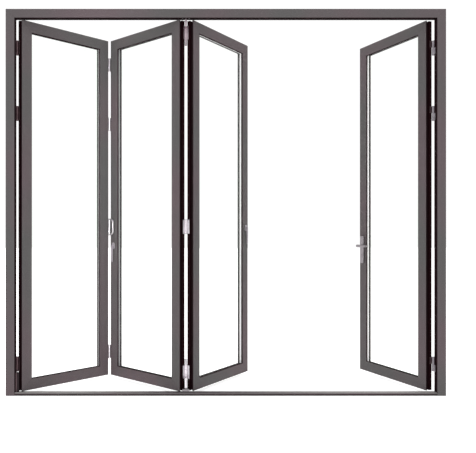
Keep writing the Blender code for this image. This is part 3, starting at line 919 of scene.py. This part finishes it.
def edge_seals(leaf):
    """The tube seal behind the edge lip, and the thermal break on the recess floor."""
    centre = (TUBE_INSET + TUBE_R, EDGE_LIP_T + FIT + TUBE_R)
    floor = EDGE_RECESS - FIT
    foot = EDGE_LIP_T + FIT
    sweep_round(leaf, "edge_seal", arc(centre, TUBE_R, 45, 270) + [
        (floor, foot), (floor, foot + TUBE_R / 2), (centre[0] + TUBE_R, foot + TUBE_R / 2)],
        "rubber", "frame_coating")

    start = leaf.depth - EDGE_BACK_W - BREAK_W - FIT
    sweep_round(leaf, "thermal_break", [
        (floor, start), (floor - BREAK_T, start + BREAK_T / 2),
        (floor - BREAK_T, start + BREAK_W - BREAK_T / 2), (floor, start + BREAK_W)],
        "break", "frame_coating", False)


def screw(shape, place, rise):
    """A low screw head with a dimple; the placing call's third direction leaves the plate."""
    floor = rise * DIMPLE_FLOOR_SHARE
    dimple = [(0.0, floor), (SCREW_DIMPLE_R, floor), (SCREW_DIMPLE_R * DIMPLE_FLARE, rise)]
    lathe(shape, dimple + rim(SCREW_R, rise, SCREW_RIM) + [(SCREW_R, -FIT), (0.0, -FIT)],
          place, SCREW_SEGMENTS)


def hinge_plate(shape, axis, low, high, screws=3, width=PLATE_W):
    """A plate on an edge face, with screws on its open side."""
    outer = EDGE_GAP - FIT
    inner = outer - PLATE_T
    block(shape, axis.point, ((inner, outer), (0.0, KNUCKLE_OFFSET + width),
                              (low + PLATE_INSET, high - PLATE_INSET)), PLATE_EDGE)
    middle = KNUCKLE_OFFSET + width / 2
    first = low + SCREW_END_GAP
    last = high - SCREW_END_GAP
    for index in range(screws):
        level = first + (last - first) * index / (screws - 1)
        screw(shape, lambda a, b, c: axis.point(inner - c, middle + a, level + b), SCREW_FLAT)


def barrel(shape, axis, low, high, parts, caps=(True, True)):
    """Knuckles with small gaps on a pin, with domed caps at the chosen ends."""
    size = (high - low) / parts
    for index in range(parts):
        start = low + size * index + (KNUCKLE_GAP / 2 if index else 0.0)
        end = low + size * (index + 1) - (KNUCKLE_GAP / 2 if index < parts - 1 else 0.0)
        rod(shape, axis.point, KNUCKLE_R, start, end)
    if parts > 1:
        rod(shape, axis.point, PIN_R, low + KNUCKLE_EDGE, high - KNUCKLE_EDGE)
    for wanted, level, way in zip(caps, (low, high), (-1, 1)):
        if wanted:
            foot = level - way * KNUCKLE_EDGE
            dome = [(CAP_R * wide, level + way * CAP_H * rise) for wide, rise in CAP_DOME]
            lathe(shape, [(0.0, foot), (CAP_R, foot)] + dome, axis.point)


def whole_hinge(node, sides, parts=3):
    """Barrel and plates of a hinge whose halves stand still."""
    low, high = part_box(node)
    shape = bmesh.new()
    barrel(shape, sides[0], low[2], high[2], parts)
    for side in sides:
        hinge_plate(shape, side, low[2], high[2])
    return shape


def fixed_hinges():
    """The hinges of the folding leaves: dark at the jamb, bright at the knee and the track."""
    jamb = near_axis("leaf_1")
    kinds = (("left_jamb", [jamb, jamb.facing(-RIGHT, TO_ROOM)], "bronze", "bronze_hardware"),
             ("knee", KNEE_SIDES, "bright", "satin_hardware"))
    for level in HINGE_LEVELS:
        for joint, sides, finish, slot in kinds:
            node = f"{joint}_hinge_{level}"
            detail(node, whole_hinge(node, sides), finish, "frame", slot)
    detail("track_hinge", whole_hinge("track_hinge", TRACK_SIDES, 5), "bright")


def swing_hinges():
    """Jamb halves stay on the frame, leaf halves turn with the swing leaf."""
    axis = near_axis("swing_leaf")
    jamb_side = axis.facing(RIGHT, TO_ROOM)
    for level in HINGE_LEVELS:
        upper = f"swing_leaf_hinge_{level}"
        low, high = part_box(upper)
        shape = bmesh.new()
        barrel(shape, axis, low[2], high[2], 1, (False, True))
        detail(upper, shape, "silver", "swing_leaf")
        shape = bmesh.new()
        hinge_plate(shape, axis, low[2], high[2], 2)
        piece(f"{upper}_plate", shape, "bronze", "swing_leaf", "bronze_hardware")

        lower = f"right_jamb_hinge_{level}"
        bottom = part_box(lower)[0][2]
        shape = bmesh.new()
        barrel(shape, axis, bottom, low[2] - FIT, 1, (True, False))
        hinge_plate(shape, jamb_side, bottom, low[2] - FIT, 2)
        detail(lower, shape, "silver")


def pull_handle():
    """The middle knee hinge with its D-shaped pull."""
    node = "knee_pull_hinge"
    shape = whole_hinge(node, KNEE_SIDES)
    low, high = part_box(node)
    middle = (low[2] + high[2]) / 2
    rise = (high[2] - low[2] - PULL_BAR) / 2
    reach = PULL_REACH - PULL_BAR / 2
    line = soft_line([
        (0.0, middle - rise), (PULL_SHOULDER, middle - rise),
        (reach, middle - rise + PULL_SLANT), (reach, middle + rise - PULL_SLANT),
        (PULL_SHOULDER, middle + rise), (0.0, middle + rise)], PULL_CORNER)
    section = rounded_box((-PULL_THICK / 2, -PULL_BAR / 2), (PULL_THICK / 2, PULL_BAR / 2),
                          RING_CORNER)
    sweep_line(shape, KNEE_AXIS.point, line, section)
    detail(node, shape, "bright")


def pivot_block():
    """The dark block under the lowest left hinge, its two screws and the buffer beside it."""
    node = "left_pivot_block"
    low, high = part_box(node)
    middle = (low[1] + high[1]) / 2
    shape = bmesh.new()
    block(shape, world, tuple(zip(low, high)), ARM_EDGE)
    for share in PIVOT_SCREW_SHARES:
        level = low[2] + (high[2] - low[2]) * share
        screw(shape, lambda a, b, c: world(high[0] + c, middle + a, level + b), SCREW_RAISED)
    detail(node, shape, "bronze", "frame", "bronze_hardware")
    shape = bmesh.new()
    block(shape, world, ((high[0] + FIT, high[0] + BUFFER_L), (low[1], low[1] + BUFFER_W),
                         (low[2], high[2])), ARM_EDGE)
    piece("pivot_buffer", shape, "cap", "frame", "bronze_hardware", smooth=False)


def carriage(shape, axis, centre, way, width):
    """Hinge body, stem with collars, and the arm at the end that way points to."""
    half = CARRIAGE_H / 2
    barrel(shape, axis, centre - half, centre + half, 3, (False, False))
    for side in TRACK_SIDES:
        hinge_plate(shape, side, centre - half, centre + half, width=width)
    low, high = sorted((centre - way * (half + STEM_L), centre - way * half))
    rod(shape, axis.point, KNUCKLE_R * STEM_SHARE, low, high)
    for share in (0.0, 0.5, 1.0):
        level = low + (high - low - STEM_COLLAR_H) * share
        rod(shape, axis.point, STEM_COLLAR_R, level, level + STEM_COLLAR_H)
    levels = around(centre + way * half, 2 * ARM_H)
    outline = rounded_box((-ARM_W / 2, -KNUCKLE_R), (ARM_W / 2, TRACK_REACH + NECK_R),
                          ARM_W * ARM_ROUND_SHARE)
    rings = loft(shape, [[axis.point(a, b, level) for a, b in outline] for level in levels])
    bevel_rims(shape, rings, ARM_EDGE)


def over_track(a, b, c):
    """A point beside the carriages' axis, measured from the line of the track."""
    return CARRIAGE_AXIS.point(a, TRACK_REACH + b, c)


def top_carriage():
    """The carriage that hangs in the head: neck, lock nut and a trolley on four wheels."""
    node = "top_carriage"
    low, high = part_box(node)
    centre = low[2] + STEM_L + CARRIAGE_H / 2
    arm_top = centre + CARRIAGE_H / 2 + ARM_H
    trolley_low = high[2] - TROLLEY_H
    hub = trolley_low + TROLLEY_H / 2
    half = TROLLEY_BODY_W / 2
    shape = bmesh.new()
    carriage(shape, CARRIAGE_AXIS, centre, 1, TOP_PLATE_W)
    rod(shape, over_track, TOP_NECK_R, arm_top - ARM_H, hub)
    rod(shape, over_track, NUT_R, arm_top, arm_top + NUT_H, NUT_SIDES)
    block(shape, over_track, (around(0.0, TROLLEY_L), (-half, half),
                              (trolley_low + FIT, high[2] - FIT)), ARM_EDGE)
    for reach in (-WHEEL_REACH, WHEEL_REACH):
        for side in (-1, 1):
            near, far = sorted((side * (half + FIT), side * (half + FIT + WHEEL_T)))
            rod(shape, lambda a, b, c: over_track(reach + a, c, hub + b), WHEEL_R, near, far)
    detail(node, shape, "carriage")


def bottom_carriage():
    """The carriage over the sill: a rounded foot whose tongue runs in the groove."""
    node = "bottom_carriage"
    low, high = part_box(node)
    centre = high[2] - STEM_L - CARRIAGE_H / 2
    foot_top = FOOT_LEVEL + FOOT_H
    shape = bmesh.new()
    carriage(shape, CARRIAGE_AXIS, centre, -1, PLATE_W)
    rod(shape, over_track, KNUCKLE_R, foot_top + NUT_H + FIT, centre - CARRIAGE_H / 2)
    detail(node, shape, "bright")
    shape = bmesh.new()
    rod(shape, over_track, NUT_R, foot_top, foot_top + NUT_H, NUT_SIDES)
    block(shape, over_track, (around(0.0, FOOT_L), around(0.0, FOOT_W),
                              (FOOT_LEVEL, foot_top)), FOOT_EDGE)
    block(shape, over_track, (around(0.0, TONGUE_L), around(0.0, TONGUE_W),
                              (low[2], foot_top - FOOT_H / 2)), ARM_EDGE)
    piece(f"{node}_foot", shape, "satin", "frame", "satin_hardware")


def drive_lever(name):
    """Rose and hanging lever on a folding leaf, with softened edges."""
    leaf = LEAVES[name]
    base = f"{name}_lever_base"
    reach, depth, height = leaf.spans(base)
    middle = sum(reach) / 2
    level = sum(height) / 2
    length = height[1] - height[0]
    shape = bmesh.new()
    slab(shape, leaf.point, stadium(middle, level, reach[1] - reach[0], length),
         depth[0], depth[1], ROSE_EDGE)
    for way in (-1, 1):
        spot = level + way * length * ROSE_SCREW_SHARE
        screw(shape, leaf.about(middle, spot, depth[0], -1), SCREW_RAISED)
    detail(base, shape, "silver", leaf.body)

    lever = f"{name}_lever"
    reach, depth, height = leaf.spans(lever)
    front, back = depth
    wide = (reach[1] - reach[0]) / 2
    slim = wide * DRIVE_TAPER
    outline = (arc((middle, level), wide, 0, 180)
               + arc((middle, height[0] + slim), slim, 180, 360))
    shape = bmesh.new()
    slab(shape, leaf.point, outline, front, front + DRIVE_LEVER_T, DRIVE_EDGE)
    rod(shape, leaf.about(middle, level), DRIVE_NECK_R, front + DRIVE_LEVER_T / 2, back)
    screw(shape, leaf.about(middle, level, front, -1), SCREW_RAISED)
    detail(lever, shape, "silver", lever)


def keyhole(middle, level):
    """Outline of a profile cylinder: a round head over a slim tail."""
    width, length = CYLINDER_TAIL
    swing = math.degrees(math.asin(width / 2 / CYLINDER_R))
    return (arc((middle, level), CYLINDER_R, swing - 90, 270 - swing, 2 * ARC_STEPS)
            + arc((middle, level - length), width / 2, 180, 360))


def lock_set():
    """Plates with cylinder and screws, and the lever, on the swing leaf's lock stile."""
    leaf = LEAVES["swing_leaf"]
    reach, depth, height = leaf.spans("lock_lever")
    half = (height[1] - height[0]) / 2
    axle = reach[1] - half
    level = sum(height) / 2
    for key, way in (("inner", -1), ("outer", 1)):
        node = f"lock_plate_{key}"
        sides, depths, levels = leaf.spans(node)
        near, face = depths if way > 0 else depths[::-1]
        outline = rounded_box((sides[0], levels[0]), (sides[1], levels[1]), LOCK_CORNER)
        shape = bmesh.new()
        if key == "inner":
            bored_slab(shape, leaf.point, outline, (axle, level, LEVER_NECK_HOLE_R),
                       face, near, LOCK_EDGE)
            ring(shape, [(LEVER_NECK_HOLE_R, COLLAR_H)] + rim(COLLAR_R, COLLAR_H, COLLAR_RIM)
                 + [(COLLAR_R, -FIT), (LEVER_NECK_HOLE_R, -FIT)], leaf.about(axle, level, face, -1))
        else:
            slab(shape, leaf.point, outline, near, face, LOCK_EDGE)
        middle = sum(sides) / 2
        for spot in (levels[0] + SCREW_END_GAP, levels[1] - SCREW_END_GAP):
            screw(shape, leaf.about(middle, spot, face, way), SCREW_RAISED)
        detail(node, shape, "satin", leaf.body)

        drop = level - CYLINDER_DROP
        raised = face + way * CYLINDER_RISE
        shape = bmesh.new()
        slab(shape, leaf.point, keyhole(axle, drop), face - way * CYLINDER_RISE, raised)
        piece(f"lock_cylinder_{key}", shape, "satin", leaf.body, "satin_hardware", smooth=False)
        # A dark sheet on the cylinder stands for the keyway: painted shade
        width, length = KEY_SLOT
        shape = bmesh.new()
        block(shape, leaf.point, (around(axle, width), around(raised, 2 * FIT),
                                  around(drop, length)))
        piece(f"key_slot_{key}", shape, "dark", leaf.body, "satin_hardware", smooth=False)

    front, back = depth
    slim = half * LEVER_TAPER
    outline = (arc((axle, level), half, -90, 90)
               + arc((reach[0] + slim, level), slim, 90, 270))
    shape = bmesh.new()
    slab(shape, leaf.point, outline, front, front + LEVER_T, LEVER_EDGE)
    for radius, start, end in ((LEVER_NECK_R, front + LEVER_T / 2, -FIT), (SPINDLE_R, -FIT, back)):
        rod(shape, leaf.about(axle, level), radius, start, end)
    detail("lock_lever", shape, "satin", "lock_lever")


def edge_hardware():
    """Faceplates in the edge recesses where the swing leaf meets the third leaf."""
    width, length, thick = FACEPLATE
    for name in ("swing_leaf", "leaf_3"):
        leaf = LEAVES[name]
        floor = leaf.width - EDGE_RECESS + FIT + BREAK_T
        middle = (EDGE_LIP_T + leaf.depth - EDGE_BACK_W) / 2 + FACEPLATE_SHIFT

        def place(depth, out, height):
            return leaf.point(floor + out, depth, height)

        shape = bmesh.new()
        slab(shape, place, stadium(middle, FACEPLATE_Z, width, length), 0.0, thick, PLATE_EDGE)
        for way in (-1, 1):
            spot = FACEPLATE_Z + way * (length / 2 - SCREW_END_GAP)
            screw(shape, lambda a, b, c: place(middle + a, thick + c, spot + b), SCREW_RAISED)
        if name == "swing_leaf":
            wide, tall, out = LATCH
            block(shape, place, (around(middle, wide), (0.0, thick + out),
                                 around(FACEPLATE_Z + LATCH_RISE, tall)), PLATE_EDGE)
        piece(f"{name}_faceplate", shape, "satin", leaf.body, "satin_hardware")


def frame_details():
    """Seals on the jambs and in the slot, screw covers, and drain caps on the sill's back."""
    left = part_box("left_jamb")[1][0]
    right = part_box("right_jamb")[0][0]
    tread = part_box("sill")[1][2]
    (_, front, under), (_, back, _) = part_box("head")
    for key, face, way in (("left", left, 1), ("right", right, -1)):
        middle = front + JAMB_SEAL_DEPTH
        wide = JAMB_SEAL_W / 2
        outline = [(FIT, -wide), (JAMB_SEAL_RISE, -wide / 2), (JAMB_SEAL_RISE, wide / 2), (FIT, wide)]
        shape = bmesh.new()
        loft(shape, [[world(face + way * rise, middle + side, level) for rise, side in outline]
                     for level in (tread + FIT, under - FIT)])
        piece(f"{key}_jamb_seal", shape, "rubber", "frame", "frame_coating", smooth=False)
        shape = bmesh.new()
        for level in COVER_LEVELS:
            lathe(shape, [(0.0, COVER_RISE)] + rim(COVER_R, COVER_RISE, COVER_RIM)
                  + [(COVER_R, FIT), (0.0, FIT)],
                  lambda a, b, c: world(face + way * c, COVER_Y + a, level + b), SCREW_SEGMENTS)
        piece(f"{key}_jamb_covers", shape, "cap", "frame", "frame_coating")

    shape = bmesh.new()
    track = front + TRACK_DEPTH
    for way in (-1, 1):
        wall = track + way * (SLOT_W / 2 - FIT)
        block(shape, world, ((left + FIT, right - FIT), sorted((wall, wall - way * BRUSH_W)),
                             (under + FIT, under + SLOT_LIP_T - FIT)))
    piece("slot_brushes", shape, "brush", "frame", "frame_coating", smooth=False)

    width, height, out = DRAIN
    shape = bmesh.new()
    for middle in DRAIN_X:
        block(shape, world, (around(middle, width), (back + FIT, back + FIT + out),
                             around(DRAIN_Z, height)), PLATE_EDGE)
    piece("drain_caps", shape, "cap", "frame", "frame_coating", smooth=False)


def dress_profiles():
    """Give every coated solid its finish, with painted shade where its edge faces another piece, on
    recess steps and on glass reveals.
    """
    def coat(node, shaded_sides=(), lips=(), tread=False):
        mesh = frame["nodes"][node].data
        mesh.materials.clear()
        mesh.materials.append(coating(f"coat_{node}", shaded_sides, lips, tread))

    # The faces of the jambs and the head that turn into the opening get painted shade
    coat("left_jamb", [RIGHT])
    coat("right_jamb", [-RIGHT])
    coat("head", [-UP])
    coat("sill", tread=True)
    for leaf in LEAVES.values():
        # Recess steps, edges that face other pieces and the rails' glass reveals get painted shade
        limit = leaf.face - LIP_DEPTH
        steps = [(leaf.inward, -leaf.inward, -limit, PAINTED_SHADE_COAT),
                 (-leaf.inward, leaf.inward, limit, PAINTED_SHADE_COAT)]
        # The stiles' glass reveals get a lighter painted shade, the rails' a nearly black one
        for node, to_glass, tone in ((leaf.near, leaf.along, LIP_SHADE_COAT),
                                     (leaf.far, -leaf.along, LIP_SHADE_COAT),
                                     (leaf.rails[0], UP, PAINTED_SHADE_COAT),
                                     (leaf.rails[1], -UP, PAINTED_SHADE_COAT)):
            reveal = (to_glass, leaf.inward, limit, tone)
            coat(node, [-to_glass], steps + [reveal])


def studio():
    """Pale floor, white surroundings and soft lights."""
    corners = [(x * FLOOR_REACH, y * FLOOR_REACH, -FLOOR_GAP)
               for x, y in ((-1, -1), (1, -1), (1, 1), (-1, 1))]
    mesh = bpy.data.meshes.new("floor")
    mesh.from_pydata(corners, [], [range(4)])
    graph = Graph("studio_floor")
    mesh.materials.append(graph.finish(
        Base_Color=graph.mix(graph.cloud(FLOOR_CLOUD_SCALE), *FLOOR_TONES),
        Roughness=FLOOR_ROUGHNESS, Specular_IOR_Level=FLOOR_SHINE,
        Emission_Color=WHITE, Emission_Strength=FLOOR_GLOW))
    floor = shown("floor", mesh)

    surroundings = bpy.data.worlds.new("studio_world")
    surroundings.use_nodes = True
    background = surroundings.node_tree.nodes["Background"]
    background.inputs["Color"].default_value = WHITE
    background.inputs["Strength"].default_value = SURROUND
    bpy.context.scene.world = surroundings
    for name, place, target, size, spread, power in SOFTBOXES:
        light = bpy.data.lights.new(name, "AREA")
        light.shape = "RECTANGLE"
        light.size, light.size_y = size
        light.spread = math.radians(spread)
        light.energy = power
        item = shown(name, light)
        item.location = place
        aim = Vector(target) - Vector(place)
        item.rotation_euler = aim.to_track_quat("-Z", "Y").to_euler()


def photograph():
    """The camera that took the photograph, and plain display colours."""
    camera = bpy.data.cameras.new("camera")
    camera.sensor_width = SENSOR_MM
    camera.sensor_fit = "HORIZONTAL"
    camera.lens = SENSOR_MM * FOCAL_PX / IMAGE_W
    camera.shift_x = (IMAGE_W / 2 - CENTRE_PX[0]) / IMAGE_W
    camera.shift_y = (CENTRE_PX[1] - IMAGE_H / 2) / IMAGE_W
    camera.clip_end = CLIP_END
    item = shown("camera", camera)
    item.location = (CAMERA_X, CAD_BOX[0][1] - CAMERA_BACK, CAMERA_Z)
    item.rotation_euler = (math.pi / 2, 0.0, 0.0)
    bpy.context.scene.camera = item
    bpy.context.scene.view_settings.view_transform = "Standard"
    bpy.context.scene.cycles.transparent_max_bounces = GLASS_CROSSINGS


dress_profiles()
for each in LEAVES.values():
    glass_unit(each)
    glazing_seals(each)
    edge_seals(each)
fixed_hinges()
pull_handle()
pivot_block()
top_carriage()
bottom_carriage()
swing_hinges()
drive_lever("leaf_2")
drive_lever("leaf_3")
lock_set()
edge_hardware()
frame_details()
studio()
photograph()
